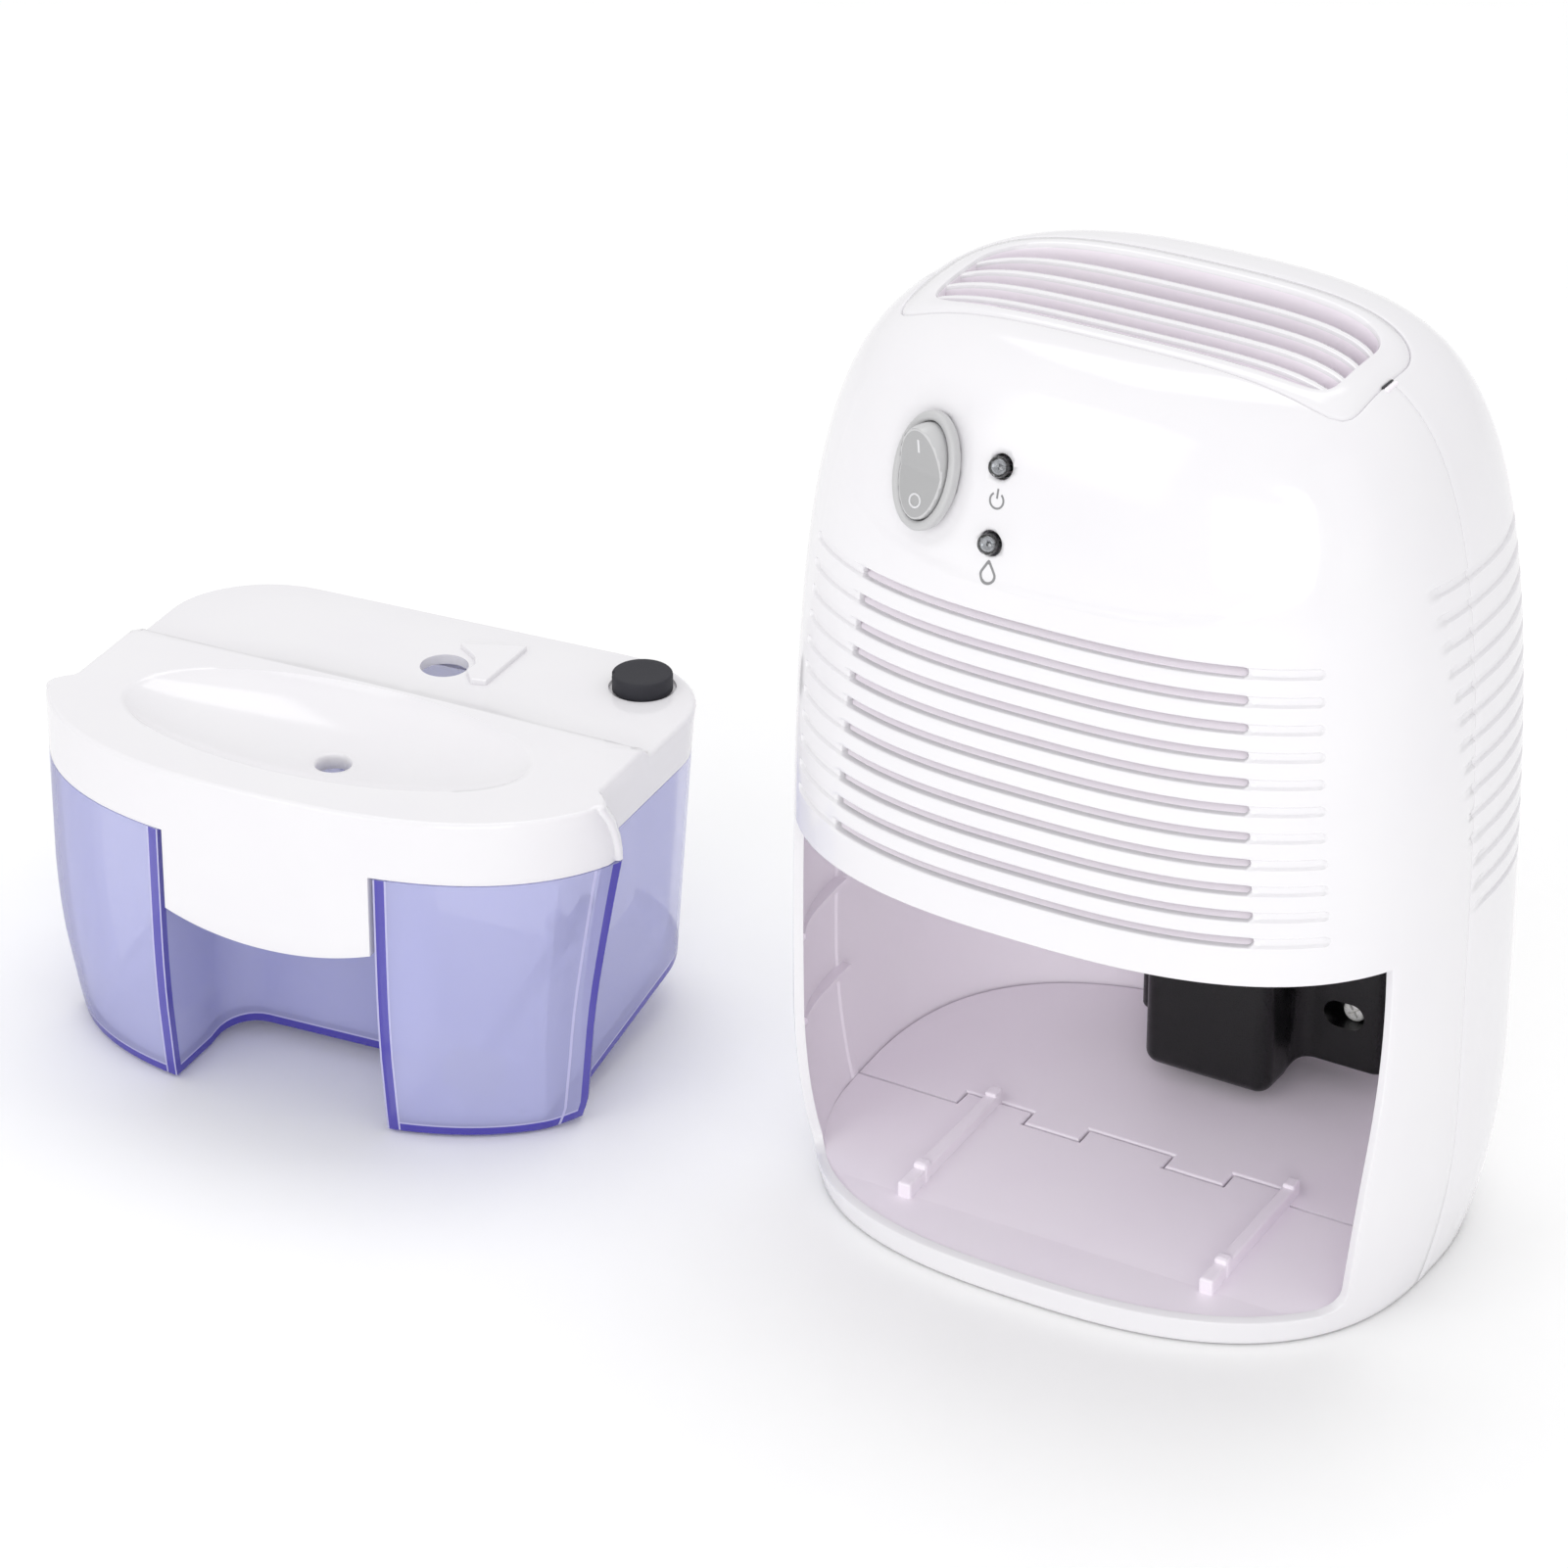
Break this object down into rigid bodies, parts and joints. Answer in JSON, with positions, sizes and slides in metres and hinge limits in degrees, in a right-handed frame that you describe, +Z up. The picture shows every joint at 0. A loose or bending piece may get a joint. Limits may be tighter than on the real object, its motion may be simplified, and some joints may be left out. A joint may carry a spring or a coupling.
{
  "type": "dehumidifier",
  "caption": "Small Peltier dehumidifier: barrel housing with louvres, top grille, rocker switch and open tank bay, its lidded water tank standing beside it.",
  "frame": {"origin": "centre of the housing's flat underside, on the surface that it stands on", "axes": "+Z up, -Y is the front with the louvres and the tank bay, +X is the viewer's right when facing the front; the tank stands on the -X side"},
  "size_m": [0.3369, 0.1393, 0.2156],
  "materials": {
    "white_abs": "high-gloss moulded ABS",
    "black_abs": "satin moulded ABS",
    "black_rubber": "matt moulded rubber",
    "grey_plastic": "semi-gloss grey",
    "pale_grey_plastic": "semi-gloss grey",
    "clear_epoxy": "clear cast epoxy",
    "blue_violet_styrene": "translucent blue-violet moulded polystyrene",
    "zinc_plated_steel": "bright zinc plated",
    "aluminium": "extruded, mill finish",
    "white_ceramic": "unglazed alumina",
    "circuit_board": "green solder mask",
    "lead_sheath": "PVC sheath",
    "grey_foam": "closed-cell foam"
  },
  "bodies": {
    "housing": {"front_shell": "white_abs", "rear_shell": "white_abs", "base_plate": "white_abs", "top_grille": "white_abs", "drip_tray": "white_abs", "core_frame": "white_abs", "sensor_cover": "black_abs", "fan_frame": "black_abs", "dc_inlet": "black_abs", "foot_front_left": "black_rubber", "foot_front_right": "black_rubber", "foot_rear_left": "black_rubber", "foot_rear_right": "black_rubber", "switch_body": "grey_plastic", "led_power": "clear_epoxy", "led_full": "clear_epoxy", "base_screw_front_left": "zinc_plated_steel", "base_screw_front_right": "zinc_plated_steel", "base_screw_rear_left": "zinc_plated_steel", "base_screw_rear_right": "zinc_plated_steel", "fan_screw_lower_left": "zinc_plated_steel", "fan_screw_lower_right": "zinc_plated_steel", "fan_screw_upper_left": "zinc_plated_steel", "fan_screw_upper_right": "zinc_plated_steel", "shell_screw_left": "zinc_plated_steel", "shell_screw_right": "zinc_plated_steel", "sensor_cover_screw": "zinc_plated_steel", "switch_terminal_left": "zinc_plated_steel", "switch_terminal_right": "zinc_plated_steel", "cold_heatsink": "aluminium", "hot_heatsink": "aluminium", "peltier_module": "white_ceramic", "control_board": "circuit_board", "sensor_board": "circuit_board", "power_lead": "lead_sheath", "fan_lead": "lead_sheath", "peltier_lead": "lead_sheath"},
    "fan": {"fan_impeller": "black_abs"},
    "rocker": {"power_rocker": "pale_grey_plastic"},
    "tank": {"reservoir": "blue_violet_styrene", "float_pin": "zinc_plated_steel"},
    "lid": {"tank_lid": "white_abs"},
    "plug": {"drain_plug": "black_rubber"},
    "float": {"float_arm": "blue_violet_styrene", "float_block": "grey_foam", "float_magnet": "zinc_plated_steel"}
  },
  "joints": [
    {"name": "fan_spin", "type": "hinge", "parent": "housing", "child": "fan", "pos_m": [0, 0.01385, 0.133], "axis": [0, 1, 0], "continuous": true},
    {"name": "rocker_tip", "type": "hinge", "parent": "housing", "child": "rocker", "pos_m": [-0.03136, -0.04837, 0.18782], "axis": [-0.977, 0.2132, 0], "range_deg": [0, 22]},
    {"name": "tank_lift", "type": "slide", "parent": "housing", "child": "tank", "axis": [0, 0, 1], "range_m": [0, 0.15]},
    {"name": "lid_lift", "type": "slide", "parent": "tank", "child": "lid", "axis": [0, 0, 1], "range_m": [0, 0.05]},
    {"name": "plug_pull", "type": "slide", "parent": "lid", "child": "plug", "axis": [0, 0, 1], "range_m": [0, 0.012]},
    {"name": "float_swing", "type": "hinge", "parent": "tank", "child": "float", "pos_m": [-0.14862, -0.00546, 0.024], "axis": [-0.994, -0.109, 0], "range_deg": [0, 40]}
  ]
}
